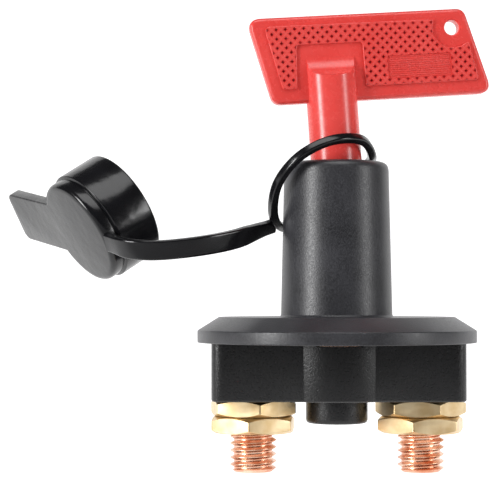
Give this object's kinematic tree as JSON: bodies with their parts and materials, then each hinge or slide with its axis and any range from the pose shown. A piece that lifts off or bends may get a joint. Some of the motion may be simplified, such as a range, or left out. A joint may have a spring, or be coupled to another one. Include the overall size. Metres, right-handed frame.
{
  "type": "battery switch",
  "caption": "Flange-mounted battery isolator with a removable red key, two copper terminal studs with brass nuts, and a splash cap on a soft tether.",
  "frame": {"origin": "centre of the flange's underside, which rests on the panel, on the barrel's axis", "axes": "+Z along the barrel towards the key, +X towards the right-hand terminal stud, +Y to the back"},
  "size_m": [0.1076, 0.0601, 0.1002],
  "materials": {
    "housing_black": "fine moulded texture, charcoal black",
    "nylon_natural": "plain moulded",
    "key_red": "glossy red moulding",
    "soft_black": "glossy soft PVC",
    "rubber_black": "plain",
    "brass": "machined, bright",
    "copper": "rolled thread, bright copper",
    "steel": "zinc plated"
  },
  "bodies": {
    "housing": {"barrel_housing": "housing_black", "base_housing": "housing_black", "housing_screw_1": "steel", "housing_screw_2": "steel", "housing_screw_3": "steel", "housing_screw_4": "steel", "stem_guide": "nylon_natural", "stud_left": "copper", "stud_right": "copper", "nut_left_inner": "brass", "nut_left_outer": "brass", "nut_right_inner": "brass", "nut_right_outer": "brass", "return_spring": "steel"},
    "contact_carriage": {"contact_carrier": "nylon_natural", "follower_pin": "steel", "contact_disc": "copper", "disc_washer": "steel", "retaining_clip": "steel"},
    "key_socket": {"key_socket": "nylon_natural", "socket_seal": "rubber_black"},
    "key": {"key": "key_red"},
    "tether_ring": {"tether_ring": "soft_black"},
    "strap_inner": {"strap_inner": "soft_black"},
    "strap_outer": {"strap_outer": "soft_black"},
    "splash_cap": {"splash_cap": "soft_black"}
  },
  "joints": [
    {"name": "key_turn", "type": "hinge", "parent": "housing", "child": "key_socket", "pos_m": [0, 0, 0.02], "axis": [0, 0, -1], "range_deg": [0, 90]},
    {"name": "contact_travel", "type": "slide", "parent": "housing", "child": "contact_carriage", "axis": [0, 0, -1], "range_m": [0, 0.00435], "deforming": ["return_spring"]},
    {"name": "key_withdraw", "type": "slide", "parent": "key_socket", "child": "key", "axis": [-0.0692, -0.0085, 0.9976], "range_m": [0, 0.05]},
    {"name": "tether_swivel", "type": "hinge", "parent": "housing", "child": "tether_ring", "pos_m": [0, 0, 0.03], "axis": [0, 0, 1], "continuous": true},
    {"name": "strap_root_flex", "type": "hinge", "parent": "tether_ring", "child": "strap_inner", "pos_m": [-0.0147, 0.0023, 0.0249], "axis": [0.1676, -0.4924, 0.8541], "range_deg": [-25, 25], "stiffness_Nm_per_rad": 0.02},
    {"name": "strap_middle_flex", "type": "hinge", "parent": "strap_inner", "child": "strap_outer", "pos_m": [-0.03074, -0.01041, 0.02024], "axis": [-0.0753, -0.177, 0.9813], "range_deg": [-25, 25], "stiffness_Nm_per_rad": 0.02},
    {"name": "cap_flex", "type": "hinge", "parent": "strap_outer", "child": "splash_cap", "pos_m": [-0.04863, -0.00504, 0.02141], "axis": [-0.2036, -0.4623, 0.863], "range_deg": [-25, 25], "stiffness_Nm_per_rad": 0.02}
  ],
  "couplings": [
    {"joint": "key_turn", "follows": "contact_travel", "rad_per_m": 361}
  ]
}
